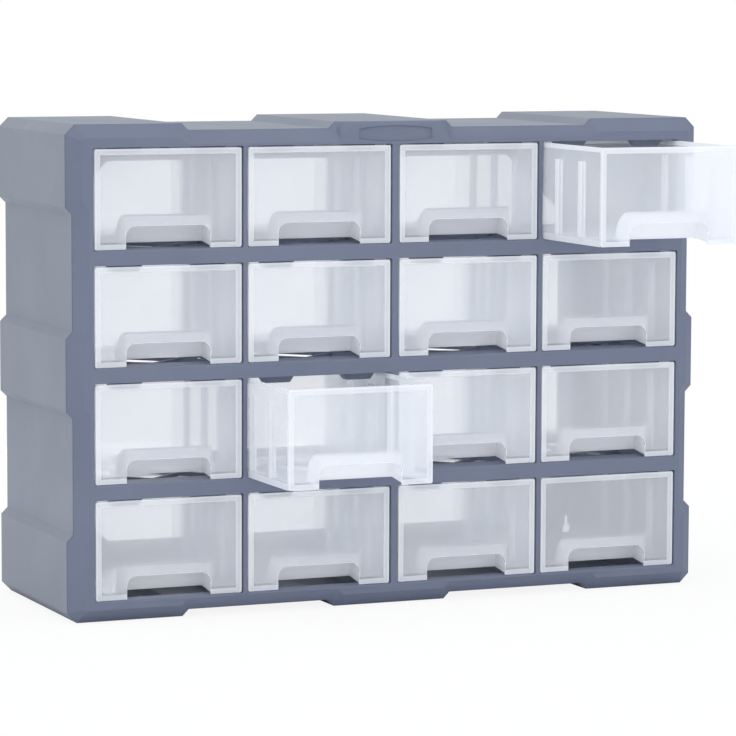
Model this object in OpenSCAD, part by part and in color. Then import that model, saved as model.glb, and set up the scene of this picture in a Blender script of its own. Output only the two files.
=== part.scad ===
// Parts bin cabinet: a moulded case with a bevelled front frame and sixteen translucent drawers.
// Units are millimetres. Seen from the front +X is right, -Y is the front and +Z is up.
// The origin is the middle of the case's footprint, on the surface that it stands on.

/* [Drawer openings] */
// Width of one drawer opening
opening_w = 118; // [100:1:140]
// Height of one drawer opening
opening_h = 75.5; // [70:0.5:90]
// Height of the rails between the rows
rail_h = 11.5; // [10:0.5:16]
// Width of the upright in the middle
centre_upright_w = 5.2; // [4:0.2:8]
// Width of the two uprights between a middle and an outer column
side_upright_w = 3; // [2.4:0.2:6]
// Width of the frame beside the outer columns
side_band_w = 18.4; // [16.5:0.1:24]
// Height of the frame below the bottom row
bottom_band_h = 16.5; // [14.5:0.5:22]
// Height of the frame above the top row
top_band_h = 17; // [15.5:0.5:22]
// Radius of the corners of the openings
opening_corner_r = 1.2; // [0.6:0.2:2]
// Rounding of the front edge of the rails, where the drawers slide over it
rail_edge_r = 1.5; // [0.8:0.1:2.4]

/* [Case] */
// Depth of the case from the front plane to the back
case_d = 172; // [168:1:200]
// Wall of the case
case_wall = 2.5; // [2:0.1:3]
// How far the long bands of the case lie in from its pads
band_step = 5; // [3.5:0.5:6]
// Length of the pads at the corners, along the width
corner_pad_w = 91; // [78:1:100]
// Length of the pads in the middle of the top and the bottom
centre_pad_w = 92; // [80:2:110]
// Height of the pads at the corners of the sides
corner_pad_h = 61; // [50:1:70]
// Height of the pad in the middle of the sides
middle_pad_h = 54; // [40:2:70]
// Chamfer along the four long corners of the case
corner_chamfer = 7.5; // [7:0.5:9]
// Width and depth of the bevel round the front
front_bevel = 10; // [7:0.5:11]
// Width and depth of the groove where the front frame meets the case
seam_groove = 0.8; // [0.4:0.1:1.2]
// Height of the ribs that carry the shelves, on the sides of the case
ledge_h = 3; // [2:0.5:5]
// How far those ribs reach in under the shelves
ledge_grip = 6; // [4:0.5:7]
// Width of the ribs under the ceiling and on the floor of the case
runner_rib_w = 2.4; // [1.6:0.2:3.2]
// Width of the rim inside the case that the back seats on
back_rim_w = 3; // [2:0.5:5]
// Depth of that rim
back_rim_d = 2.5; // [2:0.5:4]

/* [Front frame] */
// Depth of the rails and uprights
grid_d = 13; // [12:0.5:18]
// Wall of the collar that plugs into the case
collar_wall = 2; // [1.6:0.2:3]
// Depth of that collar behind the bevelled frame
collar_d = 8; // [5:0.5:12]
// Width of the stop tabs at their root
tab_w = 26; // [18:1:30]
// Distance of a stop tab from the middle of its opening
tab_offset = 33; // [26:1:36]
// How far the stop tabs hang into the opening
tab_drop = 4.7; // [4:0.1:6]
// Run of the sloped ends of the stop tabs
tab_slope = 3.4; // [2:0.2:5]
// Width of the plate in the middle of the top edge, at the front plane
plate_w = 89; // [70:1:96]
// Run of the sloped ends of that plate
plate_slope = 11.5; // [6:0.5:14]
// Corner radius of that plate
plate_corner_r = 7; // [5:0.5:9]
// Rounding along the top edge of that plate
plate_edge_r = 2.4; // [1.6:0.2:3]
// Width of the shallow lens-shaped field in the plate
lens_w = 60; // [44:2:64]
// Height of that field in its middle
lens_h = 12.2; // [9:0.2:12.4]
// Height of that field at its ends
lens_end_h = 7.6; // [5:0.2:8.4]
// Distance of that field below the rounding of the plate
lens_margin = 0.7; // [0.4:0.1:1]
// Depth of that field
lens_d = 1; // [0.6:0.1:1.6]

/* [Back panel] */
// Thickness of the back panel
back_t = 3; // [2:0.5:4]
// Width of the frame beside the window of the back panel
window_side = 39; // [37:1:60]
// Height of the frame below the window
window_below = 34.5; // [30:0.5:60]
// Height of the frame above the window
window_above = 35; // [30:0.5:60]
// Width of the cut corners of the window
window_cut_w = 48; // [40:1:70]
// Height of the cut corners of the window
window_cut_h = 47; // [30:1:60]
// Width of the bead round the window
window_bead_w = 3; // [2:0.5:5]
// Height of that bead
window_bead_h = 1.2; // [0.6:0.2:1.6]
// Diameter of the hole that lets a screw head in
keyhole_d = 8; // [7:0.5:10]
// Width of the slot that a screw hangs in
keyhole_slot_w = 4; // [3:0.5:5]
// Length of that slot, from the middle of the hole
keyhole_slot_l = 9; // [7:0.5:11]
// Distance of the keyholes from the sides of the case
keyhole_side = 30; // [26:1:32]
// Height of the middle of the lower holes above the bottom
keyhole_low = 23; // [18:0.5:26]
// Distance of the middle of the upper holes below the top
keyhole_high = 28; // [24:0.5:32]

/* [Shelves] */
// Thickness of the shelves
shelf_t = 3; // [2:0.5:4]
// Width of the bar along the front of a shelf
shelf_front_bar = 12; // [8:1:20]
// Width of the bar along the back of a shelf
shelf_back_bar = 11; // [8:1:20]
// Width of the bars that the drawers run on
shelf_runner_w = 18; // [16:1:24]
// Width of the diagonal ribs
lattice_rib_w = 4; // [3:0.5:6]
// Distance between neighbouring diagonal ribs
lattice_pitch = 44; // [34:1:48]
// Depth of the stiffening edge that hangs below the back of a shelf
shelf_lip_h = 5; // [2:0.5:7]
// Thickness of that edge
shelf_lip_t = 2.5; // [2:0.5:4]
// Gap between the back of a shelf and the back panel's rim
shelf_back_gap = 0.8; // [0.4:0.1:2]

/* [Drawers] */
// Depth of a drawer
drawer_d = 150; // [135:1:150]
// Wall of a drawer
drawer_wall = 1.5; // [1.2:0.1:2]
// Thickness of the front of a drawer, with its raised rim
drawer_front_t = 2.2; // [2:0.1:3]
// How far the rim stands out from the front
relief = 0.6; // [0.3:0.1:0.8]
// Width of the rim round the front
rim_w = 4.3; // [3:0.1:6]
// Corner radius of the front
front_corner_r = 1.5; // [1:0.1:3]
// Height of the floor above the lower edges
floor_lift = 3.8; // [2.4:0.2:6]
// Width of the finger notch
notch_w = 66.4; // [50:0.2:70]
// Height of the finger notch
notch_h = 17; // [14:0.5:20]
// Radius of the upper corners of the finger notch
notch_r = 7.5; // [4:0.5:10]
// Radius of the quarter-round hood over the finger pocket
hood_r = 22; // [20:0.5:24]
// Height of the lower edge of the hood's side walls at the front
hood_skirt = 1.4; // [0.6:0.2:2.4]
// Height of the thickened upper edge of the walls
bead_h = 3.4; // [2:0.2:5]
// Thickness of that edge
bead_t = 2.4; // [2.1:0.1:3]
// Distance of the first divider slot behind the front
slot_first = 36; // [28:1:40]
// Distance from one divider slot to the next
slot_pitch = 39.5; // [30:0.5:40]
// Width over the two ribs of a divider slot
slot_w = 7.5; // [5:0.5:8]
// Thickness of a slot rib
slot_rib_t = 1.4; // [1:0.1:1.8]
// Height of the slot ribs over the inside of the wall
slot_rib_h = 1.6; // [1.2:0.1:2.4]
// Distance of the top of the slot ribs below the rim
slot_top_gap = 11.5; // [6:0.5:20]

/* [Fits] */
// Gap between a drawer and the side of its opening
drawer_side_gap = 1.2; // [0.8:0.1:2]
// Gap between a drawer and what it runs on
drawer_run_gap = 0.3; // [0.2:0.1:0.5]
// Gap between the top of a drawer and its opening
drawer_top_gap = 0.9; // [0.6:0.1:1.4]
// How far a closed drawer's front lies behind the front plane
drawer_setback = 0.8; // [0.4:0.1:1.6]
// Gap between a drawer and the stop tabs at both ends of its travel
stop_gap = 0.3; // [0.2:0.1:0.6]
// Gap between the parts of the case that fit into each other
case_fit = 0.3; // [0.2:0.1:0.5]

/* [Drawers left open] */
// How far the right drawer of the top row stands open
open_top_right = 99; // [0:1:120]
// How far the second drawer of the third row stands open
open_third_second = 81; // [0:1:120]

/* [Colours] */
// Colour of the case
case_colour = "#8E939C"; // [#8E939C, #A9ADB4, #5D6168]
// Colour of the front frame
frame_colour = "#717990"; // [#717990, #8A90A0, #4B5160]
// Colour of the back panel
back_colour = "#878D99"; // [#878D99, #A9ADB4, #5D6168]
// Colour of the shelves
shelf_colour = "#7D8494"; // [#7D8494, #8A90A0, #4B5160]
// Colour of the drawers
drawer_colour = "#E4E8EC"; // [#E4E8EC, #DDE6EE, #F2F2F0]

/* [Hidden] */
$fn = 48;
rows = 4;
columns = 4;
overlap = 0.01;

// Overall size, worked out from the openings and the bands round them
case_w = columns * opening_w + centre_upright_w + 2 * (side_upright_w + side_band_w);
case_h = rows * opening_h + (rows - 1) * rail_h + bottom_band_h + top_band_h;
front_y = -case_d / 2;
back_y = case_d / 2;
seam_y = front_y + front_bevel;
grid_back_y = front_y + grid_d;
collar_back_y = seam_y + collar_d;
back_panel_y = back_y - back_t;
back_rim_y = back_panel_y - case_fit - back_rim_d;
grid_top = case_h - top_band_h;
grid_end_x = case_w / 2 - side_band_w - opening_corner_r;
crossing_y = (front_y + grid_back_y) / 2;
shelf_front_y = grid_back_y;
shelf_back_y = back_rim_y - shelf_back_gap;
inner_start_y = collar_back_y + case_fit;

// Columns from left to right and rows from top to bottom
column_pitch = opening_w + side_upright_w;
first_column_x = (centre_upright_w + opening_w) / 2;
function column_x(column) = (column < 3 ? -1 : 1) *
    (first_column_x + (column == 1 || column == columns ? column_pitch : 0));
function row_z(row) = bottom_band_h + (rows - row) * (opening_h + rail_h);

// Drawer sizes that follow from the opening and the fits
drawer_w = opening_w - 2 * drawer_side_gap;
drawer_h = opening_h - drawer_run_gap - drawer_top_gap;
tab_front_y = front_y + drawer_setback + drawer_front_t + stop_gap;
hood_w = notch_w + 2 * drawer_wall;
slots = 3;

// The case narrows where its sides step in, and the shelves fit between the frame's
// collar there
shelf_w = case_w - 2 * (band_step + case_wall + collar_wall + 2 * case_fit);
rail_ledge_d = 3;

// Outline of the case at a given inset. Its corners move along their bisectors, which
// turns the pads' ends by tan(22.5) of the inset.
function corner_run(inset) = corner_chamfer + inset * tan(22.5);
function width_steps(inset) =
    let (a = case_w / 2, s = band_step, t = inset * tan(22.5),
         outer = a - corner_pad_w, inner = centre_pad_w / 2)
    [[-a + corner_run(inset), inset], [-outer - t, inset], [-outer - t + s, inset + s],
     [-inner - s + t, inset + s], [-inner + t, inset], [inner - t, inset],
     [inner + s - t, inset + s], [outer + t - s, inset + s], [outer + t, inset],
     [a - corner_run(inset), inset]];
function height_steps(inset) =
    let (a = case_w / 2, s = band_step, t = inset * tan(22.5), low = corner_pad_h,
         mid_low = (case_h - middle_pad_h) / 2, mid_high = (case_h + middle_pad_h) / 2,
         high = case_h - corner_pad_h, x = a - inset)
    [[x, corner_run(inset)], [x, low - t], [x - s, low + s - t], [x - s, mid_low - s + t],
     [x, mid_low + t], [x, mid_high - t], [x - s, mid_high + s - t],
     [x - s, high - s + t], [x, high + t], [x, case_h - corner_run(inset)]];
function turned(points) = [for (p = points) [-p[0], case_h - p[1]]];
function outline(inset) = concat(width_steps(inset), height_steps(inset),
    turned(width_steps(inset)), turned(height_steps(inset)));

// A flat drawing in X and Z, given a depth from y0 back to y1
module deep(y0, y1) {
    translate([0, y1, 0]) rotate([90, 0, 0]) linear_extrude(y1 - y0) children();
}

module case_ring(inset, wall, y0, y1) {
    deep(y0, y1) difference() {
        polygon(outline(inset));
        polygon(outline(inset + wall));
    }
}

module block(low, high) {
    translate(low) cube(high - low);
}

// Rectangle with rounded corners, made of squares and circles
module rounded_rect(w, h, r) {
    translate([-w / 2 + r, 0]) square([w - 2 * r, h]);
    translate([-w / 2, r]) square([w, h - 2 * r]);
    for (x = [-w / 2 + r, w / 2 - r], z = [r, h - r]) translate([x, z]) circle(r, $fn = 32);
}

// Arch with rounded shoulders that stands on the line z = 0
module arch(w, h, r) {
    translate([-w / 2 + r, 0]) square([w - 2 * r, h]);
    translate([-w / 2, -1]) square([w, h - r + 1]);
    for (x = [-w / 2 + r, w / 2 - r]) translate([x, h - r]) circle(r, $fn = 48);
}

// ---- Case ----

module shell_ledges() {
    for (side = [-1, 1], row = [1 : rows - 1]) {
        top = row_z(row) - shelf_t - case_fit;
        intersection() {
            deep(inner_start_y, shelf_back_y) polygon(outline(case_wall / 2));
            scale([side, 1, 1]) block([shelf_w / 2 - ledge_grip, inner_start_y, top - ledge_h],
                [case_w / 2, shelf_back_y, top]);
        }
    }
}

// One rib under each side wall of the drawers in the bottom row, and their mirror
// image under the ceiling
module shell_ribs() {
    rib_x = drawer_w / 2 - drawer_wall / 2;
    intersection() {
        deep(inner_start_y, back_rim_y) polygon(outline(case_wall / 2));
        for (column = [1 : columns], side = [-1, 1]) {
            x = column_x(column) + side * rib_x;
            block([x - runner_rib_w / 2, inner_start_y, 0],
                [x + runner_rib_w / 2, back_rim_y, bottom_band_h]);
            block([x - runner_rib_w / 2, inner_start_y, case_h - top_band_h],
                [x + runner_rib_w / 2, back_rim_y, case_h]);
        }
    }
}

module shell() {
    color(case_colour) union() {
        case_ring(0, case_wall, seam_y + seam_groove, back_y);
        case_ring(seam_groove, case_wall - seam_groove, seam_y, seam_y + seam_groove + overlap);
        case_ring(case_wall - overlap, back_rim_w, back_rim_y, back_rim_y + back_rim_d);
        shell_ledges();
        shell_ribs();
    }
}

// ---- Front frame ----

// Solid between a convex outline at y0 and one with as many corners at y1
module loft(front, y0, back, y1) {
    n = len(front);
    points = concat([for (p = front) [p[0], y0, p[1]]], [for (p = back) [p[0], y1, p[1]]]);
    sides = [for (i = [0 : n - 1]) [i, (i + 1) % n, n + (i + 1) % n, n + i]];
    polyhedron(points, concat([[for (i = [n - 1 : -1 : 0]) i]], [[for (i = [0 : n - 1]) n + i]], sides));
}

// The case's rectangle with its cut corners, at a given inset
function full_outline(inset) =
    let (a = case_w / 2 - inset, low = inset, high = case_h - inset, cut = corner_run(inset) - inset)
    [[-a + cut, low], [a - cut, low], [a, low + cut], [a, high - cut],
     [a - cut, high], [-a + cut, high], [-a, high - cut], [-a, low + cut]];

// The space that a long band leaves between two pads, which end at from and to along the
// edge. It is measured along the edge and inwards from it, and reaches out past the bevel.
function band_space(from, to, inset) =
    let (t = inset * tan(22.5), s = band_step, out = 2 * front_bevel)
    [[from - t - inset - out, -out], [to + t + inset + out, -out],
     [to + t - s, inset + s], [from - t + s, inset + s]];

module bevelled_band(from, to, upright) {
    past = 1;
    slices = [for (inset = [front_bevel + past, -past]) [for (p = band_space(from, to, inset))
        upright ? [case_w / 2 - p[1], p[0]] : p]];
    loft(slices[0], front_y - past, slices[1], seam_y + past);
}

// Frame with a 45 degree bevel that follows the pads and bands of the case
module bevelled_front() {
    difference() {
        loft(full_outline(front_bevel), front_y, full_outline(0), seam_y);
        for (side = [0, 1], end = [0, 1])
            mirror([side, 0, 0]) translate([0, 0, end * case_h]) mirror([0, 0, end]) {
                bevelled_band(centre_pad_w / 2, case_w / 2 - corner_pad_w, false);
                bevelled_band(corner_pad_h, (case_h - middle_pad_h) / 2, true);
            }
    }
}

module grip_plate_profile(half_w, top, slope, r) {
    low = case_h - front_bevel - band_step;
    polygon([[-half_w, low], [-half_w, top - r], [-half_w + slope, top], [half_w - slope, top],
        [half_w, top - r], [half_w, low]]);
}

// Raised plate in the middle of the top edge: its rounded top comes forward to the
// front plane, and its ends slope back into the bevel
module grip_plate() {
    half_w = centre_pad_w / 2;
    r = plate_edge_r;
    low = case_h - front_bevel - band_step;
    hull() {
        deep(front_y, front_y + overlap)
            grip_plate_profile(plate_w / 2, case_h - r, plate_slope, plate_corner_r + r / 2);
        deep(front_y + r * (1 - cos(45)), front_y + r)
            grip_plate_profile(plate_w / 2, case_h - r * (1 - cos(45)), plate_slope, plate_corner_r + r / 2);
        deep(front_y + r, seam_y) intersection() {
            translate([0, low - plate_corner_r]) rounded_rect(centre_pad_w, case_h - low + plate_corner_r,
                plate_corner_r);
            translate([-half_w, low]) square([2 * half_w, case_h - low]);
        }
    }
}

// Shallow field with curved upper and lower edges in the grip plate
module grip_lens() {
    rise = (lens_h - lens_end_h) / 2;
    r = (pow(lens_w / 2, 2) + pow(rise, 2)) / (2 * rise);
    z = case_h - plate_edge_r - lens_margin - lens_h / 2;
    deep(front_y - 1, front_y + lens_d) intersection() {
        translate([0, z + r - lens_h / 2]) circle(r, $fn = 360);
        translate([0, z - r + lens_h / 2]) circle(r, $fn = 360);
        translate([-lens_w / 2, z - lens_h]) square([lens_w, 2 * lens_h]);
    }
}

module frame_opening(column, row) {
    translate([column_x(column), 0, row_z(row)])
        deep(front_y - 1, grid_back_y + 1) rounded_rect(opening_w, opening_h, opening_corner_r);
}

// What the rounding takes off the front edge below the openings of a row
module edge_rounding(row) {
    for (column = [1 : columns]) translate([column_x(column), front_y, row_z(row)]) difference() {
        block([-opening_w / 2 + opening_corner_r, -1, -rail_edge_r],
            [opening_w / 2 - opening_corner_r, rail_edge_r, 1]);
        translate([-opening_w, rail_edge_r, -rail_edge_r]) rotate([0, 90, 0])
            cylinder(r = rail_edge_r, h = 2 * opening_w);
    }
}

// Tabs that hang from the upper edge of an opening and stop the drawer's back wall
module stop_tabs(row) {
    root = tab_w / 2;
    tip = root - tab_slope;
    top = row_z(row) + opening_h;
    for (column = [1 : columns], side = [-1, 1]) translate([column_x(column) + side * tab_offset, 0, top])
        deep(tab_front_y, grid_back_y) polygon([[-root, 0], [-root, overlap], [root, overlap],
            [root, 0], [tip, -tab_drop], [-tip, -tab_drop]]);
}

// The front frame is one moulding. Each of its bars is a node, so that the openings between
// them stay open in a simulation too. The bars meet face to face, and where a rail and an
// upright cross, the rail has the front half of the depth and the upright the back half.

module rim_of_frame(low, high) {
    plug = case_wall + case_fit;
    intersection() {
        union() {
            bevelled_front();
            deep(seam_y - overlap, grid_back_y) polygon(outline(plug));
            case_ring(plug, collar_wall, grid_back_y - overlap, collar_back_y);
        }
        block([low[0], front_y - 1, low[1]], [high[0], collar_back_y + 1, high[1]]);
    }
}

module frame_bottom() {
    color(frame_colour) difference() {
        rim_of_frame([-case_w, -1], [case_w, bottom_band_h]);
        edge_rounding(rows);
    }
}

module frame_top() {
    color(frame_colour) {
        difference() {
            union() {
                rim_of_frame([-case_w, grid_top], [case_w, case_h + 1]);
                grip_plate();
            }
            grip_lens();
        }
        stop_tabs(1);
    }
}

module frame_side(side) {
    low = side < 0 ? -case_w : grid_end_x;
    high = side < 0 ? -grid_end_x : case_w;
    color(frame_colour) difference() {
        rim_of_frame([low, bottom_band_h], [high, grid_top]);
        for (row = [1 : rows]) frame_opening(side < 0 ? 1 : columns, row);
    }
}

// Space of an upright with the rounded corners of the openings beside it
module upright_space(number, y0, z0, z1) {
    half = (number == columns / 2 ? centre_upright_w : side_upright_w) / 2 + opening_corner_r;
    x = (column_x(number) + column_x(number + 1)) / 2;
    block([x - half, y0, z0], [x + half, grid_back_y, z1]);
}

module upright(number) {
    color(frame_colour) difference() {
        upright_space(number, front_y, bottom_band_h, grid_top);
        for (column = [number, number + 1], row = [1 : rows]) frame_opening(column, row);
        for (row = [1 : rows - 1])
            block([-case_w, front_y - 1, row_z(row) - rail_h], [case_w, crossing_y, row_z(row)]);
    }
}

// Rail below a row, with the ledge behind it that carries the front of a shelf
module rail(row) {
    ledge_top = row_z(row) - shelf_t - case_fit;
    color(frame_colour) difference() {
        union() {
            block([-grid_end_x, front_y, row_z(row) - rail_h], [grid_end_x, grid_back_y, row_z(row)]);
            block([-grid_end_x, grid_back_y - overlap, ledge_top - ledge_h],
                [grid_end_x, grid_back_y + rail_ledge_d, ledge_top]);
            stop_tabs(row + 1);
        }
        edge_rounding(row);
        for (number = [1 : columns - 1])
            upright_space(number, crossing_y, row_z(row) - rail_h - 1, row_z(row) + 1);
    }
}

// ---- Back panel ----

module window_outline(grow) {
    x = case_w / 2 - window_side + grow;
    low = window_below - grow;
    high = case_h - window_above + grow;
    t = grow * tan(22.5);
    polygon([[-x + window_cut_w + t, low], [x - window_cut_w - t, low], [x, low + window_cut_h + t],
        [x, high - window_cut_h - t], [x - window_cut_w - t, high], [-x + window_cut_w + t, high],
        [-x, high - window_cut_h - t], [-x, low + window_cut_h + t]]);
}

// Round hole with a slot above it, for a screw head and its shank
module keyhole(x, z) {
    translate([x, back_y + 1, z]) rotate([90, 0, 0]) {
        cylinder(d = keyhole_d, h = back_t + 2);
        translate([0, keyhole_slot_l, 0]) cylinder(d = keyhole_slot_w, h = back_t + 2);
        translate([-keyhole_slot_w / 2, 0, 0]) cube([keyhole_slot_w, keyhole_slot_l, back_t + 2]);
    }
}

module back_panel() {
    color(back_colour) difference() {
        union() {
            deep(back_panel_y, back_y) polygon(outline(case_wall + case_fit));
            deep(back_panel_y - window_bead_h, back_panel_y + overlap) window_outline(window_bead_w);
        }
        deep(back_panel_y - window_bead_h - 1, back_y + 1) window_outline(0);
        for (side = [-1, 1], z = [keyhole_low, case_h - keyhole_high])
            keyhole(side * (case_w / 2 - keyhole_side), z);
    }
}

// ---- Shelves ----

module lattice() {
    reach = case_w;
    for (turn = [-45, 45]) rotate(turn)
        for (i = [-ceil(reach / lattice_pitch) : ceil(reach / lattice_pitch)])
            translate([-reach, i * lattice_pitch - lattice_rib_w / 2]) square([2 * reach, lattice_rib_w]);
}

// Bars under the drawers' side walls: one between two columns and one at each side
module shelf_bars() {
    depth = shelf_back_y - shelf_front_y;
    between = first_column_x + column_pitch / 2;
    for (x = [-between, 0, between])
        translate([x - shelf_runner_w / 2, shelf_front_y]) square([shelf_runner_w, depth]);
    for (side = [-1, 1]) scale([side, 1])
        translate([shelf_w / 2 - shelf_runner_w, shelf_front_y]) square([shelf_runner_w, depth]);
    translate([-shelf_w / 2, shelf_front_y]) square([shelf_w, shelf_front_bar]);
    translate([-shelf_w / 2, shelf_back_y - shelf_back_bar]) square([shelf_w, shelf_back_bar]);
}

module shelf(row) {
    top = row_z(row);
    color(shelf_colour) {
        translate([0, 0, top - shelf_t]) linear_extrude(shelf_t) {
            shelf_bars();
            intersection() {
                lattice();
                translate([-shelf_w / 2, shelf_front_y]) square([shelf_w, shelf_back_y - shelf_front_y]);
            }
        }
        block([-shelf_w / 2 + 2 * ledge_grip, shelf_back_y - shelf_lip_t, top - shelf_t - shelf_lip_h],
            [shelf_w / 2 - 2 * ledge_grip, shelf_back_y, top - shelf_t + overlap]);
    }
}

// ---- Drawers ----
// A drawer is drawn with its front at y = 0, its lower edges at z = 0 and x = 0 in its middle.

// Flat front with a rim that stands out at the sides and the top, and the finger notch below
module drawer_front() {
    deep(relief, drawer_front_t) difference() {
        rounded_rect(drawer_w, drawer_h, front_corner_r);
        arch(notch_w, notch_h, notch_r);
    }
    deep(0, relief + overlap) difference() {
        rounded_rect(drawer_w, drawer_h, front_corner_r);
        translate([-drawer_w / 2 + rim_w, -1]) square([drawer_w - 2 * rim_w, drawer_h - rim_w + 1]);
    }
}

// A drawing in Y and Z, drawn out along X to both sides of the middle
module across(w) {
    translate([-w / 2, 0, 0]) rotate([90, 0, 90]) linear_extrude(w) children();
}

// Quarter-round hood of the finger pocket, which stands on the floor behind the notch. Its
// side walls reach a little below the floor towards the front.
module pocket_hood() {
    across(hood_w) {
        intersection() {
            translate([0, floor_lift]) circle(hood_r, $fn = 64);
            translate([drawer_front_t - overlap, floor_lift]) square(hood_r);
        }
        polygon([[drawer_front_t - overlap, hood_skirt], [hood_r - drawer_wall, floor_lift],
            [hood_r, floor_lift + overlap], [drawer_front_t - overlap, floor_lift + overlap]]);
    }
}

module pocket_space() {
    inner = hood_r - drawer_wall;
    across(notch_w) intersection() {
        union() {
            translate([0, floor_lift]) circle(inner, $fn = 64);
            translate([0, -1]) square([inner, floor_lift + 1]);
        }
        translate([drawer_front_t, -1]) square([hood_r, floor_lift + hood_r + 1]);
    }
}

module slot_ribs() {
    low = floor_lift + drawer_wall - overlap;
    high = drawer_h - slot_top_gap;
    wall = drawer_w / 2 - drawer_wall;
    for (side = [-1, 1], i = [0 : slots - 1], edge = [0, slot_w - slot_rib_t]) {
        y = slot_first + i * slot_pitch - slot_w / 2 + edge;
        scale([side, 1, 1]) block([wall - slot_rib_h, y, low], [wall + overlap, y + slot_rib_t, high]);
    }
}

module drawer_tray() {
    half = drawer_w / 2;
    start = drawer_front_t - overlap;
    difference() {
        union() {
            for (side = [-1, 1]) scale([side, 1, 1]) {
                block([half - drawer_wall, start, 0], [half, drawer_d, drawer_h]);
                block([half - bead_t, start, drawer_h - bead_h], [half, drawer_d, drawer_h]);
            }
            block([-half, drawer_d - drawer_wall, 0], [half, drawer_d, drawer_h]);
            block([-half + overlap, drawer_d - bead_t, drawer_h - bead_h], [half - overlap, drawer_d, drawer_h]);
            block([-half + overlap, start, floor_lift], [half - overlap, drawer_d - overlap, floor_lift + drawer_wall]);
            pocket_hood();
            slot_ribs();
        }
        pocket_space();
        deep(0, drawer_front_t + 1) arch(notch_w, notch_h, notch_r);
    }
}

module drawer(column, row, open) {
    color(drawer_colour)
        translate([column_x(column), front_y + drawer_setback - open, row_z(row) + drawer_run_gap]) {
            drawer_front();
            drawer_tray();
        }
}

shell();
frame_bottom();
frame_top();
frame_side(-1);  // frame_left
frame_side(1);  // frame_right
rail(1);  // rail_1
rail(2);  // rail_2
rail(3);  // rail_3
upright(1);  // upright_1
upright(2);  // upright_2
upright(3);  // upright_3
back_panel();
shelf(1);  // shelf_1
shelf(2);  // shelf_2
shelf(3);  // shelf_3
drawer(1, 1, 0);  // drawer_r1_c1
drawer(2, 1, 0);  // drawer_r1_c2
drawer(3, 1, 0);  // drawer_r1_c3
drawer(4, 1, open_top_right);  // drawer_r1_c4
drawer(1, 2, 0);  // drawer_r2_c1
drawer(2, 2, 0);  // drawer_r2_c2
drawer(3, 2, 0);  // drawer_r2_c3
drawer(4, 2, 0);  // drawer_r2_c4
drawer(1, 3, 0);  // drawer_r3_c1
drawer(2, 3, open_third_second);  // drawer_r3_c2
drawer(3, 3, 0);  // drawer_r3_c3
drawer(4, 3, 0);  // drawer_r3_c4
drawer(1, 4, 0);  // drawer_r4_c1
drawer(2, 4, 0);  // drawer_r4_c2
drawer(3, 4, 0);  // drawer_r4_c3
drawer(4, 4, 0);  // drawer_r4_c4
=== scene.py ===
"""Parts bin cabinet: finishes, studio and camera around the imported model.

The shell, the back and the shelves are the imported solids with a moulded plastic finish. The front frame
joins its packed bars into one moulding. The drawers are modelled again with soft edges, as frosted
polypropylene that is milkier where the moulding is thicker.
"""

import logging
import math
from dataclasses import dataclass, field
from enum import Enum

import bmesh
import bpy
from mathutils import Matrix, Vector


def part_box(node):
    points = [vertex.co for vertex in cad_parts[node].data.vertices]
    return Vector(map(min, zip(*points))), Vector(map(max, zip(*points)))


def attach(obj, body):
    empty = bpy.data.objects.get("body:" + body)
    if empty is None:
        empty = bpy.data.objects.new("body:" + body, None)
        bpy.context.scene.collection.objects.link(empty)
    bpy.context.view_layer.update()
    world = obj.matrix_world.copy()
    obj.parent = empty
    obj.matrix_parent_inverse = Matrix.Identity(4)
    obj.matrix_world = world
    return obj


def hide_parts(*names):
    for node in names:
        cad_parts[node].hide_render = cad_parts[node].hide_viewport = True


LOG = logging.getLogger("parts_cabinet")
MM = 0.001
WHITE = (1.0, 1.0, 1.0, 1.0)

Point = tuple[float, float, float]
Corner = tuple[float, float]
Outline = list[Corner]
Span = tuple[float, float]


class Thickness(Enum):
    """How thick a drawer's moulding is, by the place of its finish on the mesh."""

    WALL = 0
    RIB = 1
    RIM = 2


class Axis(Enum):
    """An axis of the cabinet, by its place in a point: X to the right, Y to the back, Z up."""

    X = 0
    Y = 1
    Z = 2


def linear_colour(hex_colour: str) -> tuple[float, float, float, float]:
    """Turns an sRGB hex colour to linear light.

    Args:
        hex_colour: Six hex digits with a leading hash.

    Returns:
        Red, green, blue and an alpha of one.
    """
    channels = [int(hex_colour[i:i + 2], 16) / 255.0 for i in (1, 3, 5)]
    red, green, blue = (c / 12.92 if c <= 0.04045 else ((c + 0.055) / 1.055) ** 2.4 for c in channels)
    return red, green, blue, 1.0


def add_object(name: str, data: bpy.types.ID) -> bpy.types.Object:
    """Adds an object to the scene.

    Args:
        name: The object's name.
        data: Its mesh, lamp or camera.

    Returns:
        The new object.
    """
    obj = bpy.data.objects.new(name, data)
    bpy.context.collection.objects.link(obj)
    return obj


def add_node(tree: bpy.types.NodeTree, kind: str, settings: dict[str, object] | None = None,
             inputs: dict[str | int, object] | None = None) -> bpy.types.Node:
    """Adds a shader node with its settings, values and links.

    Args:
        tree: The node tree that takes the node.
        kind: Blender's name for the node type.
        settings: Properties of the node itself.
        inputs: A value or an output socket for each input, by name or index.

    Returns:
        The new node.
    """
    node = tree.nodes.new(kind)
    for name, value in (settings or {}).items():
        setattr(node, name, value)
    for key, value in (inputs or {}).items():
        if isinstance(value, bpy.types.NodeSocket):
            tree.links.new(value, node.inputs[key])
        else:
            node.inputs[key].default_value = value
    return node


def compute(tree: bpy.types.NodeTree, operation: str, first: object, second: object) -> bpy.types.NodeSocket:
    """Adds a calculation with two numbers.

    Args:
        tree: The node tree.
        operation: Blender's name for the calculation.
        first: A number or a socket.
        second: A number or a socket.

    Returns:
        The socket of the result.
    """
    return add_node(tree, "ShaderNodeMath", {"operation": operation}, {0: first, 1: second}).outputs[0]


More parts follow.
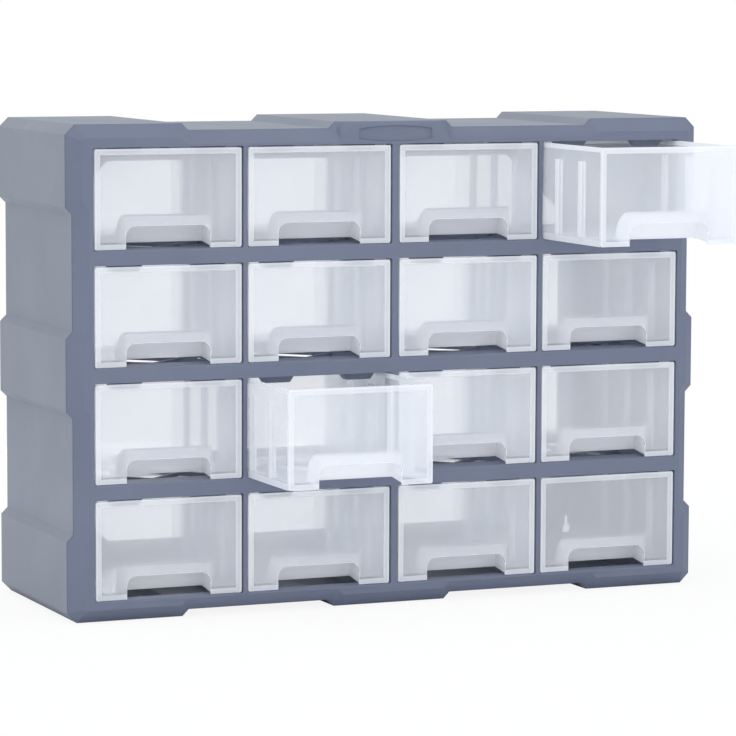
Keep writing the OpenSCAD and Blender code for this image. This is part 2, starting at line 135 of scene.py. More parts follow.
def remap(tree: bpy.types.NodeTree, value: bpy.types.NodeSocket, source: Span, target: Span,
          course: str = "LINEAR") -> bpy.types.NodeSocket:
    """Adds a step that turns one span of values to another and stays within it.

    Args:
        tree: The node tree.
        value: The socket that gives the values.
        source: Ends of the span that comes in.
        target: Ends of the span that goes out.
        course: How the values run from end to end.

    Returns:
        The socket of the result.
    """
    return add_node(tree, "ShaderNodeMapRange", {"interpolation_type": course}, {
        0: value, 1: source[0], 2: source[1], 3: target[0], 4: target[1]}).outputs[0]


def mix_colours(tree: bpy.types.NodeTree, amount: bpy.types.NodeSocket, colour: str,
                shade: str) -> bpy.types.NodeSocket:
    """Adds a mix of two colours; the node's colour sockets go by number, because its names repeat.

    Args:
        tree: The node tree.
        amount: How much of the shade there is.
        colour: The colour at an amount of zero, as sRGB hex.
        shade: The colour at an amount of one, as sRGB hex.

    Returns:
        The socket of the result.
    """
    return add_node(tree, "ShaderNodeMix", {"data_type": "RGBA"}, {
        0: amount, 6: linear_colour(colour), 7: linear_colour(shade)}).outputs[2]


def mix_shaders(tree: bpy.types.NodeTree, amount: object, first: bpy.types.Node,
                second: bpy.types.Node) -> bpy.types.Node:
    """Adds a mix of two shaders.

    Args:
        tree: The node tree.
        amount: How much of the second there is, as a number or a socket.
        first: The shader at an amount of zero.
        second: The shader at an amount of one.

    Returns:
        The mixing node.
    """
    return add_node(tree, "ShaderNodeMixShader", {}, {
        0: amount, 1: first.outputs[0], 2: second.outputs[0]})


def empty_material(name: str) -> tuple[bpy.types.Material, bpy.types.NodeTree]:
    """Makes a material with no nodes.

    Args:
        name: The material's name.

    Returns:
        The material and its node tree.
    """
    material = bpy.data.materials.new(name)
    material.use_nodes = True
    material.node_tree.nodes.clear()
    return material, material.node_tree


@dataclass(frozen=True)
class Pattern:
    """A noise pattern: the size of its spots in millimetres, and how fine its detail is."""

    size_mm: float
    detail: float
    roughness: float

    def build(self, tree: bpy.types.NodeTree, place: bpy.types.NodeSocket) -> bpy.types.NodeSocket:
        """Adds the pattern to a node tree.

        Args:
            tree: The node tree.
            place: The socket of the coordinates.

        Returns:
            The socket of the pattern's value.
        """
        return add_node(tree, "ShaderNodeTexNoise", {}, {
            "Vector": place, "Scale": 1.0 / (self.size_mm * MM), "Detail": self.detail,
            "Roughness": self.roughness}).outputs["Fac"]


@dataclass(frozen=True)
class MouldedPlastic:
    """Injection-moulded ABS: matt, with a fine spark-eroded grain."""

    name: str
    colour: str
    shade: str
    roughness: Span = (0.56, 0.65)
    flow: Pattern = Pattern(60.0, 3.0, 0.55)
    flow_span: Span = (0.3, 0.7)
    cloudiness: float = 0.8
    grain: Pattern = Pattern(0.9, 2.0, 0.6)
    grain_span: Span = (0.35, 0.7)
    speckle: float = 0.25
    grain_depth_mm: float = 0.02
    grain_strength: float = 0.5
    edge_mm: float = 0.5
    edge_samples: int = 4
    refraction: float = 1.53
    shine: float = 0.3

    def build(self) -> bpy.types.Material:
        """Builds the material: cloudy flow colour, grain in the bump, edges rounded in the normal.

        Returns:
            The finished material.
        """
        material, tree = empty_material(self.name)
        place = add_node(tree, "ShaderNodeTexCoord").outputs["Object"]
        flow = self.flow.build(tree, place)
        grain = self.grain.build(tree, place)
        amount = add_node(tree, "ShaderNodeMath", {"operation": "ADD", "use_clamp": True}, {
            0: remap(tree, flow, self.flow_span, (0.0, self.cloudiness)),
            1: remap(tree, grain, self.grain_span, (0.0, self.speckle))}).outputs[0]
        edge = add_node(tree, "ShaderNodeBevel", {"samples": self.edge_samples}, {
            "Radius": self.edge_mm * MM}).outputs[0]
        bump = add_node(tree, "ShaderNodeBump", {}, {
            "Strength": self.grain_strength, "Distance": self.grain_depth_mm * MM, "Height": grain,
            "Normal": edge}).outputs[0]
        shader = add_node(tree, "ShaderNodeBsdfPrincipled", {}, {
            "Base Color": mix_colours(tree, amount, self.colour, self.shade),
            "Roughness": remap(tree, flow, self.flow_span, self.roughness),
            "IOR": self.refraction, "Specular IOR Level": self.shine, "Normal": bump})
        add_node(tree, "ShaderNodeOutputMaterial", {}, {"Surface": shader.outputs[0]})
        return material


@dataclass(frozen=True)
class FrostedPolypropylene:
    """Injection-moulded natural polypropylene: a milky veil that lets light through."""

    name: str
    colour: str
    shade: str
    veil: float = 0.28
    through: float = 0.25
    shading: float = 0.55
    slant_limit: float = 0.75
    roughness: float = 0.34
    flow: Pattern = Pattern(45.0, 2.0, 0.5)
    flow_span: Span = (0.3, 0.7)
    ripple: Pattern = Pattern(9.0, 2.0, 0.5)
    ripple_depth_mm: float = 0.03
    ripple_strength: float = 0.4
    refraction: float = 1.49

    def build_veil(self, tree: bpy.types.NodeTree) -> bpy.types.NodeSocket:
        """Adds how much the veil hides.

        Seen at a slant a wall has more plastic along the view, so less is seen through it. Its shadow is
        weaker than its veil.

        Args:
            tree: The node tree.

        Returns:
            The socket of the amount.
        """
        slant = add_node(tree, "ShaderNodeLayerWeight", {}, {"Blend": 0.5}).outputs["Facing"]
        straight = compute(tree, "MAXIMUM", compute(tree, "SUBTRACT", 1.0, slant), self.slant_limit)
        length = compute(tree, "DIVIDE", 1.0, straight)
        clear = compute(tree, "POWER", 1.0 - self.veil, length)
        ray = add_node(tree, "ShaderNodeLightPath").outputs["Is Shadow Ray"]
        shadow = remap(tree, ray, (0.0, 1.0), (1.0, self.shading))
        return compute(tree, "MULTIPLY", compute(tree, "SUBTRACT", 1.0, clear), shadow)

    def build(self) -> bpy.types.Material:
        """Builds the material: a thin milky veil with slow ripples from the mould's flow.

        Returns:
            The finished material.
        """
        material, tree = empty_material(self.name)
        veil = self.build_veil(tree)
        place = add_node(tree, "ShaderNodeTexCoord").outputs["Object"]
        blend = remap(tree, self.flow.build(tree, place), self.flow_span, (0.0, 1.0))
        colour = mix_colours(tree, blend, self.colour, self.shade)
        bump = add_node(tree, "ShaderNodeBump", {}, {
            "Strength": self.ripple_strength, "Distance": self.ripple_depth_mm * MM,
            "Height": self.ripple.build(tree, place)}).outputs[0]
        surface = add_node(tree, "ShaderNodeBsdfPrincipled", {}, {
            "Base Color": colour, "Roughness": self.roughness, "IOR": self.refraction, "Alpha": veil,
            "Normal": bump})
        window = add_node(tree, "ShaderNodeBsdfTransparent", {}, {"Color": WHITE})
        glow = add_node(tree, "ShaderNodeBsdfTranslucent", {}, {"Color": colour})
        lit = mix_shaders(tree, veil, window, glow)
        whole = mix_shaders(tree, self.through, surface, lit)
        add_node(tree, "ShaderNodeOutputMaterial", {}, {"Surface": whole.outputs[0]})
        return material


CASE_ABS = MouldedPlastic("case_moulded_abs", "#8E939C", "#898E98")
FRAME_ABS = MouldedPlastic("frame_moulded_abs", "#70778A", "#6C7386")
SHELF_ABS = MouldedPlastic("shelf_moulded_abs", "#767D90", "#71788B")
DRAWER_PP = {
    Thickness.WALL: FrostedPolypropylene("drawer_frosted_polypropylene", "#F9FBFF", "#F4F8FD"),
    Thickness.RIB: FrostedPolypropylene("drawer_rib_polypropylene", "#FCFDFF", "#F9FBFE",
                                        veil=0.75, through=0.2),
    Thickness.RIM: FrostedPolypropylene("drawer_rim_polypropylene", "#FAFCFF", "#F6F9FD",
                                        veil=0.7, through=0.3),
}


def dress(node: str, material: bpy.types.Material) -> None:
    """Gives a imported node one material.

    Args:
        node: The node's name in the frame.
        material: The material for all of it.
    """
    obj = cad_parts[node]
    obj.data.materials.clear()
    obj.data.materials.append(material)


@dataclass
class Case:
    """The pieces of the case that keep their packed form: shell, back and shelves."""

    shell: str = "shell"
    back: str = "back_panel"
    shelves: tuple[str, ...] = ("shelf_1", "shelf_2", "shelf_3")

    def build(self) -> None:
        """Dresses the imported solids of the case."""
        case_material = CASE_ABS.build()
        shelf_material = SHELF_ABS.build()
        for node in (self.shell, self.back):
            dress(node, case_material)
            LOG.info("case: %s", node)
        for node in self.shelves:
            dress(node, shelf_material)
            LOG.info("shelf: %s", node)


class Workbench:
    """Cuts and joins closed solids, in millimetres, into one mesh.

    Corners closer than weld are one corner. Faces that turn by less than flat_below degrees are one face,
    edges that turn by more than round_above can be rounded, and those above sharp_above are shaded sharp.
    """

    weld: float = 0.004
    flat_below: float = 0.3
    round_above: float = 32.0
    round_steps: int = 2
    round_profile: float = 0.5
    sharp_above: float = 40.0

    def __init__(self, name: str) -> None:
        """Starts with nothing on the bench.

        Args:
            name: The name of the finished mesh.
        """
        self.name = name
        self.work: bpy.types.Object | None = None

    def prism(self, outline: Outline, axis: Axis, start: float, end: float) -> bpy.types.Object:
        """Makes a closed prism from an outline.

        Args:
            outline: Corners in the two axes that the prism doesn't run along.
            axis: The axis that it runs along.
            start: Where it starts on that axis.
            end: Where it ends on that axis.

        Returns:
            The prism as an object.
        """
        def place(corner: Corner, along: float) -> list[float]:
            point = list(corner)
            point.insert(axis.value, along)
            return point

        shape = bmesh.new()
        near = [shape.verts.new(place(corner, start)) for corner in outline]
        far = [shape.verts.new(place(corner, end)) for corner in outline]
        shape.faces.new(near)
        shape.faces.new(far[::-1])
        for i in range(len(outline)):
            after = (i + 1) % len(outline)
            shape.faces.new([near[after], near[i], far[i], far[after]])
        bmesh.ops.recalc_face_normals(shape, faces=shape.faces)
        mesh = bpy.data.meshes.new(self.name)
        shape.to_mesh(mesh)
        shape.free()
        return add_object(self.name, mesh)

    def box(self, low: Point, high: Point) -> bpy.types.Object:
        """Makes a box between two corners.

        Args:
            low: The corner with the smaller coordinates.
            high: The corner with the larger ones.

        Returns:
            The box as an object.
        """
        outline = [(low[0], low[1]), (high[0], low[1]), (high[0], high[1]), (low[0], high[1])]
        return self.prism(outline, Axis.Z, low[2], high[2])

    def copy(self, node: str) -> bpy.types.Object:
        """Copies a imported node.

        Args:
            node: The node's name in the frame.

        Returns:
            The copy as an object of its own.
        """
        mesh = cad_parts[node].data.copy()
        shape = bmesh.new()
        shape.from_mesh(mesh)
        bmesh.ops.scale(shape, vec=(1 / MM, 1 / MM, 1 / MM), verts=shape.verts)
        bmesh.ops.remove_doubles(shape, verts=shape.verts, dist=self.weld)
        shape.to_mesh(mesh)
        shape.free()
        return add_object(node, mesh)

    def add(self, tool: bpy.types.Object) -> None:
        """Joins a solid to the work.

        Args:
            tool: The solid, which is cleared off the bench.
        """
        if self.work is None:
            self.work = tool
        else:
            self.combine("UNION", tool)

    def cut(self, tool: bpy.types.Object) -> None:
        """Cuts a solid away from the work.

        Args:
            tool: The solid, which is cleared off the bench.
        """
        self.combine("DIFFERENCE", tool)

    def combine(self, operation: str, tool: bpy.types.Object) -> None:
        """Changes the work with a solid and clears the solid off the bench.

        Args:
            operation: Blender's name for the change.
            tool: The solid.
        """
        step = self.work.modifiers.new("step", "BOOLEAN")
        step.operation = operation
        step.solver = "EXACT"
        step.object = tool
        graph = bpy.context.evaluated_depsgraph_get()
        mesh = bpy.data.meshes.new_from_object(self.work.evaluated_get(graph))
        self.work.modifiers.clear()
        old, self.work.data = self.work.data, mesh
        scrap = tool.data
        bpy.data.objects.remove(tool)
        for unused in (old, scrap):
            bpy.data.meshes.remove(unused)

    def finish(self, rounding: float = 0.0, sharp_at: float = 0.0) -> bpy.types.Mesh:
        """Closes the joints, rounds the edges, turns the work to metres and clears the bench.

        Args:
            rounding: Width of the rounding; none at zero.
            sharp_at: Edges that lie this far behind the front aren't rounded.

        Returns:
            The finished mesh, with the finish of the ribs on its rounded edges.
        """
        mesh = self.work.data
        shape = bmesh.new()
        shape.from_mesh(mesh)
        bmesh.ops.remove_doubles(shape, verts=shape.verts, dist=self.weld)
        bmesh.ops.dissolve_limit(shape, angle_limit=math.radians(self.flat_below), verts=shape.verts,
                                 edges=shape.edges)
        if rounding:
            turn = math.radians(self.round_above)
            edges = [e for e in shape.edges
                     if len(e.link_faces) == 2 and e.calc_face_angle(0.0) > turn
                     and any(abs(v.co.y - sharp_at) > self.weld for v in e.verts)]
            bmesh.ops.bevel(shape, geom=edges, offset=rounding, offset_type="OFFSET",
                            segments=self.round_steps, profile=self.round_profile, affect="EDGES",
                            clamp_overlap=False, material=Thickness.RIB.value)
        bmesh.ops.scale(shape, vec=(MM, MM, MM), verts=shape.verts)
        for face in shape.faces:
            face.smooth = True
        shape.to_mesh(mesh)
        shape.free()
        mesh.set_sharp_from_angle(angle=math.radians(self.sharp_above))
        bpy.data.objects.remove(self.work)
        self.work = None
        return mesh


@dataclass
class FrontFrame:
    """The front frame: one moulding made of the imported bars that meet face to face."""

    name: str = "front_frame_moulding"
    bars: tuple[str, ...] = ("frame_bottom", "frame_left", "frame_right", "frame_top", "rail_1", "rail_2",
                             "rail_3", "upright_1", "upright_2", "upright_3")

    def build(self) -> None:
        """Joins the bars into the moulding, which stands for all of them."""
        bench = Workbench(self.name)
        for node in self.bars:
            bench.add(bench.copy(node))
        mesh = bench.finish()
        mesh.materials.clear()
        mesh.materials.append(FRAME_ABS.build())
        frame = add_object(self.name, mesh)
        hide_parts(*self.bars)
        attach(frame, "case")
        LOG.info("front frame: %d bars in one moulding", len(self.bars))


@dataclass(frozen=True)
class DrawerShape:
    """Sizes of a drawer in millimetres; its front is at y = 0 and its lower edges at z = 0.

    The field of the front lies back by relief inside its rim, whose outermost strip is the lip. The upper
    edge has a bead. Behind the notch a quarter-round hood spans the finger pocket, with a skirt on each
    side below the floor. Each slot for a divider lies between two ribs.
    """

    width: float = 115.6
    depth: float = 150.0
    height: float = 74.3
    wall: float = 1.5
    front: float = 2.2
    body_start: float = 1.2
    corner: float = 1.5
    relief: float = 0.6
    rim: float = 4.3
    lip: float = 1.5
    edge: float = 0.25
    floor_lift: float = 3.8
    notch_width: float = 66.4
    notch_height: float = 17.0
    notch_corner: float = 7.5
    hood_radius: float = 22.0
    hood_overlap: float = 0.4
    hood_steps: int = 20
    hood_skirt: float = 1.4
    skirt_overlap: float = 0.5
    bead_height: float = 3.4
    bead_width: float = 2.4
    slots: int = 3
    slot_first: float = 36.0
    slot_pitch: float = 39.5
    slot_width: float = 7.5
    slot_rib: float = 1.4
    slot_rib_height: float = 1.6
    slot_rib_overlap: float = 0.2
    slot_top_gap: float = 11.5

    @property
    def half(self) -> float:
        """Half the width outside."""
        return self.width / 2

    @property
    def inner(self) -> float:
        """Half the width inside."""
        return self.half - self.wall

    @property
    def floor(self) -> float:
        """Height of the floor's upper side."""
        return self.floor_lift + self.wall

    @property
    def bead_foot(self) -> float:
        """Height where the thicker upper edge starts."""
        return self.height - self.bead_height

    @property
    def rib_top(self) -> float:
        """Height of the slots' ribs."""
        return self.height - self.slot_top_gap

    @property
    def notch_half(self) -> float:
        """Half the width of the finger notch."""
        return self.notch_width / 2

    @property
    def hood_half(self) -> float:
        """Half the width of the pocket's hood outside."""
        return self.notch_half + self.wall

    @property
    def hood_inner(self) -> float:
        """Radius of the hood inside."""
        return self.hood_radius - self.wall

    def slot_middle(self, slot: int) -> float:
        """Gives the middle of a slot.

        Args:
            slot: The slot's number from the front, from zero.

        Returns:
            Its distance behind the front.
        """
        return self.slot_first + slot * self.slot_pitch


@dataclass
class Drawers:
    """The sixteen drawers, in rows from the top and columns from the left.

    Cuts run past the moulding's outside by past. A face lies on a wall when its middle is within near of it.
    Edges that turn by more than sharp_above degrees are shaded sharp.
    """

    shape: DrawerShape = field(default_factory=DrawerShape)
    rows: int = 4
    columns: int = 4
    past: float = 1.0
    near: float = 0.1
    sharp_above: float = 50.0
    area_weight: int = 100
    corner_steps: int = 4
    notch_steps: int = 8

    def arc(self, middle: Corner, radius: float, quarter: int, steps: int) -> Outline:
        """Gives the points of a quarter circle.

        Args:
            middle: Its middle.
            radius: Its radius.
            quarter: Which quarter it is, anticlockwise from the first axis.
            steps: How many steps it has.

        Returns:
            The points from end to end.
        """
        points = []
        for step in range(steps + 1):
            turn = math.radians(90.0 * (quarter + step / steps))
            points.append((middle[0] + radius * math.cos(turn), middle[1] + radius * math.sin(turn)))
        return points

    def front_outline(self) -> Outline:
        """Gives the outline of the front with its rounded corners.

        Returns:
            Corners in X and Z.
        """
        s = self.shape
        right, top = s.half - s.corner, s.height - s.corner
        middles = ((right, top), (-right, top), (-right, s.corner), (right, s.corner))
        return [point for quarter, middle in enumerate(middles)
                for point in self.arc(middle, s.corner, quarter, self.corner_steps)]

    def notch_outline(self) -> Outline:
        """Gives the outline of the finger notch, open below.

        Returns:
            Corners in X and Z.
        """
        s = self.shape
        right, top = s.notch_half - s.notch_corner, s.notch_height - s.notch_corner
        return [(-s.notch_half, -self.past), (s.notch_half, -self.past),
                *self.arc((right, top), s.notch_corner, 0, self.notch_steps),
                *self.arc((-right, top), s.notch_corner, 1, self.notch_steps)]

    def hood_outline(self, radius: float, start: float) -> Outline:
        """Gives the side view of the pocket's quarter-round hood, above the floor.

        Args:
            radius: Its radius, about the foot of the front.
            start: Where it starts behind the front.

        Returns:
            Corners in Y and Z, from the back to the top.
        """
        s = self.shape
        top = math.acos(start / radius)
        turns = [top * step / s.hood_steps for step in range(s.hood_steps + 1)]
        return [(radius * math.cos(turn), s.floor_lift + radius * math.sin(turn)) for turn in turns]

    def form_box(self, bench: Workbench) -> None:
        """Forms the open box with its raised rim in front and its thicker upper edge.

        Args:
            bench: The bench with the drawer's work.
        """
        s, past = self.shape, self.past
        back, bead, rim = s.depth - s.wall, s.half - s.bead_width, s.half - s.rim
        bench.add(bench.box((-s.half, s.body_start, 0.0), (s.half, s.depth, s.height)))
        bench.add(bench.prism(self.front_outline(), Axis.Y, 0.0, s.front))
        bench.cut(bench.box((-s.inner, s.front, s.floor), (s.inner, back, s.bead_foot)))
        bench.cut(bench.box((-bead, s.front, s.bead_foot - past),
                            (bead, s.depth - s.bead_width, s.height + past)))
        bench.cut(bench.box((-s.inner, s.front, -past), (s.inner, back, s.floor_lift)))
        bench.cut(bench.box((-rim, -past, -past), (rim, s.relief, s.height - s.rim)))

    def form_pocket(self, bench: Workbench) -> None:
        """Forms the finger pocket: the hood, the skirts beside it and the notch in the front.

        Args:
            bench: The bench with the drawer's work.
        """
        s, past = self.shape, self.past
        start, head = s.front - s.hood_overlap, s.floor_lift + s.skirt_overlap
        hood = [(start, s.floor_lift), *self.hood_outline(s.hood_radius, start)]
        skirt = [(start, s.hood_skirt), (s.hood_inner, s.floor_lift), (s.hood_inner, head), (start, head)]
        space = [(s.front, -past), (s.hood_inner, -past), *self.hood_outline(s.hood_inner, s.front)]
        bench.add(bench.prism(hood, Axis.X, -s.hood_half, s.hood_half))
        for side in (-1, 1):
            low, high = sorted((side * s.notch_half, side * s.hood_half))
            bench.add(bench.prism(skirt, Axis.X, low, high))
        bench.cut(bench.prism(space, Axis.X, -s.notch_half, s.notch_half))
        bench.cut(bench.prism(self.notch_outline(), Axis.Y, -past, s.front + past))

    def form_slots(self, bench: Workbench) -> None:
        """Forms the pairs of ribs on the side walls, each a slot for a divider.

        Args:
            bench: The bench with the drawer's work.
        """
        s = self.shape
        foot = s.floor - s.slot_rib_overlap
        for side in (-1, 1):
            low, high = sorted((side * (s.inner - s.slot_rib_height), side * (s.inner + s.slot_rib_overlap)))
            for slot in range(s.slots):
                for edge in (0.0, s.slot_width - s.slot_rib):
                    y = s.slot_middle(slot) - s.slot_width / 2 + edge
                    bench.add(bench.box((low, y, foot), (high, y + s.slot_rib, s.rib_top)))

    def build_mesh(self) -> bpy.types.Mesh:
        """Makes the mesh that all drawers share.

        Returns:
            The mesh in metres, with its front at y = 0 and each face's thickness as its material's place.
        """
        bench = Workbench("drawer_moulding")
        self.form_box(bench)
        self.form_pocket(bench)
        self.form_slots(bench)
        mesh = bench.finish(self.shape.edge, self.shape.body_start)
        self.divide_walls(mesh)
        for face in mesh.polygons:
            if face.material_index == Thickness.WALL.value:
                face.material_index = self.thickness(Vector(face.center) / MM).value
        return self.even_shading(mesh)

    def divide_walls(self, mesh: bpy.types.Mesh) -> None:
        """Divides the flat walls along the thicker parts of the moulding that lie behind them.

        Args:
            mesh: The moulding, in metres.
        """
        s = self.shape
        lip = s.half - s.lip
        edges = [(Axis.Z, s.floor), (Axis.Z, s.bead_foot)]
        slots = [(Axis.Y, s.slot_middle(slot) + side * s.slot_width / 2)
                 for slot in range(s.slots) for side in (-1, 1)]
        ribs = [(Axis.Z, s.rib_top), *slots]
        walls = {(Axis.Y, 0.0): [(Axis.X, lip), (Axis.X, -lip), (Axis.Z, s.height - s.lip)],
                 (Axis.Y, s.relief): [(Axis.Z, s.floor_lift)],
                 (Axis.Y, s.depth): edges}
        for side in (-1, 1):
            walls[(Axis.X, side * s.half)] = [(Axis.Y, s.front), *edges, *ribs]
            walls[(Axis.X, side * s.inner)] = ribs
        shape = bmesh.new()
        shape.from_mesh(mesh)
        for (axis, level), cuts in walls.items():
            for along, place in cuts:
                self.divide_wall(shape, axis, level, along, place)
        shape.to_mesh(mesh)
        shape.free()
        mesh.set_sharp_from_angle(angle=math.radians(self.sharp_above))

    def divide_wall(self, shape: bmesh.types.BMesh, axis: Axis, level: float, along: Axis,
                    place: float) -> None:
        """Divides the faces of one flat wall along a line.

        Args:
            shape: The moulding, in metres.
            axis: The axis that the wall stands across.
            level: Where it stands on that axis, in millimetres.
            along: The axis that the line lies across.
            place: Where it lies on that axis, in millimetres.
        """
        close = Workbench.weld * MM
        faces = [f for f in shape.faces if all(abs(v.co[axis.value] - level * MM) < close for v in f.verts)]
        edges = [e for f in faces for e in f.edges]
        corners = [v for f in faces for v in f.verts]
        spot, normal = Vector(), Vector()
        spot[along.value] = place * MM
        normal[along.value] = 1.0
        bmesh.ops.bisect_plane(shape, geom=list(dict.fromkeys([*faces, *edges, *corners])),
                               plane_co=spot, plane_no=normal)

    def thickness(self, spot: Vector) -> Thickness:
        """Tells how thick the moulding is at a spot on its surface.

        Args:
            spot: A place on the surface, in millimetres.

        Returns:
            RIB at the slots, the hood and the lip; RIM at the rim and the lower and upper edges; else WALL.
        """
        s, near = self.shape, self.near
        x = abs(spot.x)
        foremost = spot.y < near
        if foremost and (x > s.half - s.lip or spot.z > s.height - s.lip):
            return Thickness.RIB
        aside = x > s.half - near
        outside = aside or spot.y > s.depth - near or spot.y < s.relief + near
        if foremost or spot.z > s.bead_foot - near or (outside and spot.z < s.floor):
            return Thickness.RIM
        if aside and spot.y < s.front:
            return Thickness.RIM
        slot = min(s.slots - 1, max(0, round((spot.y - s.slot_first) / s.slot_pitch)))
        in_slot = abs(spot.y - s.slot_middle(slot)) < s.slot_width / 2 + near
        if in_slot and x > s.inner - s.slot_rib_height - near and s.floor < spot.z < s.rib_top + near:
            return Thickness.RIB
        reach = math.hypot(spot.y, spot.z - s.floor_lift)
        at_hood = x < s.hood_half + near and spot.y > s.front + near and reach < s.hood_radius + near
        if at_hood and (reach > s.hood_inner - near or x > s.notch_half - near):
            return Thickness.RIB
        return Thickness.WALL

    def even_shading(self, mesh: bpy.types.Mesh) -> bpy.types.Mesh:
        """Keeps the flat walls evenly shaded, so that the rounded edges alone turn the light.

        Args:
            mesh: The moulding, in metres.

        Returns:
            The same shape with normals that follow the largest faces alone.
        """
        holder = add_object("drawer_moulding_blank", mesh)
        modifier = holder.modifiers.new("even_shading", "WEIGHTED_NORMAL")
        modifier.mode = "FACE_AREA"
        modifier.weight = self.area_weight
        modifier.keep_sharp = True
        ready = holder.evaluated_get(bpy.context.evaluated_depsgraph_get())
        even = bpy.data.meshes.new_from_object(ready)
        bpy.data.objects.remove(holder)
        return even

    def build(self) -> None:
        """Places a drawer over each packed one."""
        mesh = self.build_mesh()
        for thickness in Thickness:
            mesh.materials.append(DRAWER_PP[thickness].build())
        for row in range(1, self.rows + 1):
            for column in range(1, self.columns + 1):
                node = f"drawer_r{row}_c{column}"
                low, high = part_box(node)
                drawer = add_object(f"{node}_moulding", mesh)
                drawer.location = ((low[0] + high[0]) / 2, low[1], low[2])
                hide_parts(node)
                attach(drawer, node)
                LOG.info("drawer: %s, front at %.3f m", node, low[1])


@dataclass(frozen=True)
class Softbox:
    """A square lamp that points at the cabinet: place and side in metres, power in watts."""

    name: str
    place: Point
    side: float
    power: float
    target: Point = (0.0, 0.0, 0.18)

    def build(self) -> None:
        """Hangs the lamp up, out of the camera's sight."""
        light = bpy.data.lights.new(self.name, "AREA")
        light.shape = "SQUARE"
        light.size = self.side
        light.energy = self.power
        lamp = add_object(self.name, light)
        lamp.visible_camera = False
        lamp.location = self.place
        aim = Vector(self.target) - Vector(self.place)
        lamp.rotation_euler = aim.to_track_quat("-Z", "Y").to_euler()
        LOG.info("lamp: %s, %.1f W", self.name, self.power)


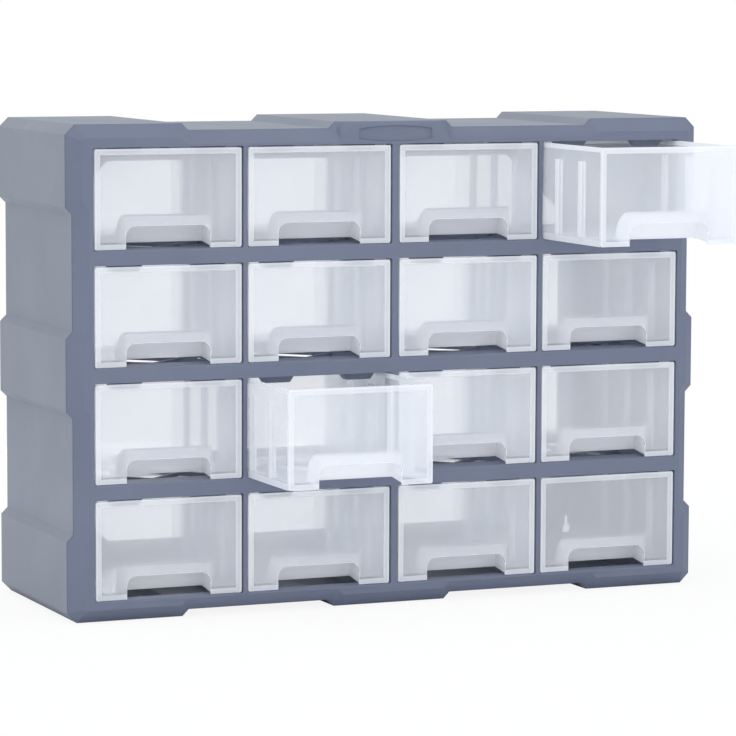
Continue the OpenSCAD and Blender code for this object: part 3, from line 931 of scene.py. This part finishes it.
@dataclass
class Studio:
    """Pale floor, white surroundings and soft lamps; lengths in metres."""

    lamps: tuple[Softbox, ...] = (
        Softbox("key_softbox", (-1.9, -2.4, 1.9), 2.2, 20.0),
        Softbox("fill_softbox", (1.6, -2.6, 1.2), 2.0, 8.0),
        Softbox("top_softbox", (-0.1, -0.3, 2.3), 1.6, 10.0),
        Softbox("backdrop_glow", (0.05, 0.95, 0.19), 0.34, 3.6))
    floor_size: float = 60.0
    floor_drop: float = 0.0002
    floor_colour: str = "#F4F5F7"
    near_glow: float = 0.88
    glow_span: Span = (0.3, 1.6)
    world_colour: str = "#F2F5FA"
    world_strength: float = 0.9
    walls_seen_through: int = 24

    def build_world(self) -> None:
        """Builds a world that looks white and lights softly."""
        world = bpy.data.worlds.new("studio_air")
        bpy.context.scene.world = world
        world.use_nodes = True
        tree = world.node_tree
        tree.nodes.clear()
        path = add_node(tree, "ShaderNodeLightPath").outputs
        seen = compute(tree, "MAXIMUM", path["Is Camera Ray"], path["Is Transmission Ray"])
        light = add_node(tree, "ShaderNodeBackground", {}, {
            "Color": linear_colour(self.world_colour), "Strength": self.world_strength})
        white = add_node(tree, "ShaderNodeBackground", {}, {"Color": WHITE, "Strength": 1.0})
        air = mix_shaders(tree, seen, light, white)
        add_node(tree, "ShaderNodeOutputWorld", {}, {"Surface": air.outputs[0]})
        LOG.info("world: %s", world.name)

    def paper(self) -> bpy.types.Material:
        """Builds the floor's material, which glows to the camera, more so farther from the cabinet.

        Returns:
            The finished material.
        """
        material, tree = empty_material("studio_paper")
        path = add_node(tree, "ShaderNodeLightPath").outputs
        matt = add_node(tree, "ShaderNodeBsdfDiffuse", {}, {"Color": linear_colour(self.floor_colour)})
        glow = add_node(tree, "ShaderNodeEmission", {}, {"Color": WHITE, "Strength": 1.0})
        place = add_node(tree, "ShaderNodeTexCoord").outputs["Object"]
        away = add_node(tree, "ShaderNodeVectorMath", {"operation": "LENGTH"}, {0: place}).outputs["Value"]
        fade = remap(tree, away, self.glow_span, (self.near_glow, 1.0), "SMOOTHSTEP")
        amount = compute(tree, "MULTIPLY", path["Is Camera Ray"], fade)
        surface = mix_shaders(tree, amount, matt, glow)
        add_node(tree, "ShaderNodeOutputMaterial", {}, {"Surface": surface.outputs[0]})
        return material

    def build_floor(self) -> None:
        """Builds the floor, which stays nearly white to the camera and takes the cabinet's shadow."""
        half = self.floor_size / 2
        mesh = bpy.data.meshes.new("studio_floor")
        corners = [(-half, -half, 0), (half, -half, 0), (half, half, 0), (-half, half, 0)]
        mesh.from_pydata(corners, [], [(0, 1, 2, 3)])
        floor = add_object("studio_floor", mesh)
        floor.location.z = -self.floor_drop
        mesh.materials.append(self.paper())
        LOG.info("floor: %.0f m wide", self.floor_size)

    def build(self) -> None:
        """Builds world, floor and lamps, and lets the camera see through many drawer walls."""
        self.build_world()
        self.build_floor()
        for lamp in self.lamps:
            lamp.build()
        bpy.context.scene.cycles.transparent_max_bounces = self.walls_seen_through
        bpy.context.scene.view_settings.view_transform = "Standard"


@dataclass(frozen=True)
class PhotoCamera:
    """The photograph's camera, solved from the frame's grid and the case's outline."""

    place: Point = (-1.1056, -2.6310, 0.4708)
    yaw: float = 23.056
    pitch: float = 5.94
    roll: float = 0.206
    lens: float = 178.99
    sensor: float = 36.0
    sight: float = 200.0

    def build(self) -> None:
        """Adds the camera and makes it the scene's own."""
        yaw, pitch, roll = (math.radians(a) for a in (self.yaw, self.pitch, self.roll))
        forward = Vector((math.sin(yaw) * math.cos(pitch), math.cos(yaw) * math.cos(pitch), -math.sin(pitch)))
        right = Vector((math.cos(yaw), -math.sin(yaw), 0.0))
        up = right.cross(forward)
        turned_right = math.cos(roll) * right + math.sin(roll) * up
        turned_up = -math.sin(roll) * right + math.cos(roll) * up
        data = bpy.data.cameras.new("photo_camera")
        data.lens = self.lens
        data.sensor_width = self.sensor
        data.clip_end = self.sight
        camera = add_object("photo_camera", data)
        turn = Matrix((turned_right, turned_up, -forward)).transposed().to_4x4()
        camera.matrix_world = Matrix.Translation(Vector(self.place)) @ turn
        bpy.context.scene.camera = camera
        LOG.info("camera: %.0f mm lens", self.lens)


def main() -> None:
    """Builds everything in order."""
    logging.basicConfig(level=logging.INFO, format="%(name)s: %(message)s")
    Case().build()
    FrontFrame().build()
    Drawers().build()
    Studio().build()
    PhotoCamera().build()


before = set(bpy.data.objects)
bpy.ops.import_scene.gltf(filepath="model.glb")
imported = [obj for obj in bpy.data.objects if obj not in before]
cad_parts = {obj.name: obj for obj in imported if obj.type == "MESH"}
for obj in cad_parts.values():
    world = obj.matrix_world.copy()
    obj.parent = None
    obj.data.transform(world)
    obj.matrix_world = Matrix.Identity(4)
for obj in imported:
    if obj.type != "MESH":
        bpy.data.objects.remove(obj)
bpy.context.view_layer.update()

if __name__ == "__main__":
    main()
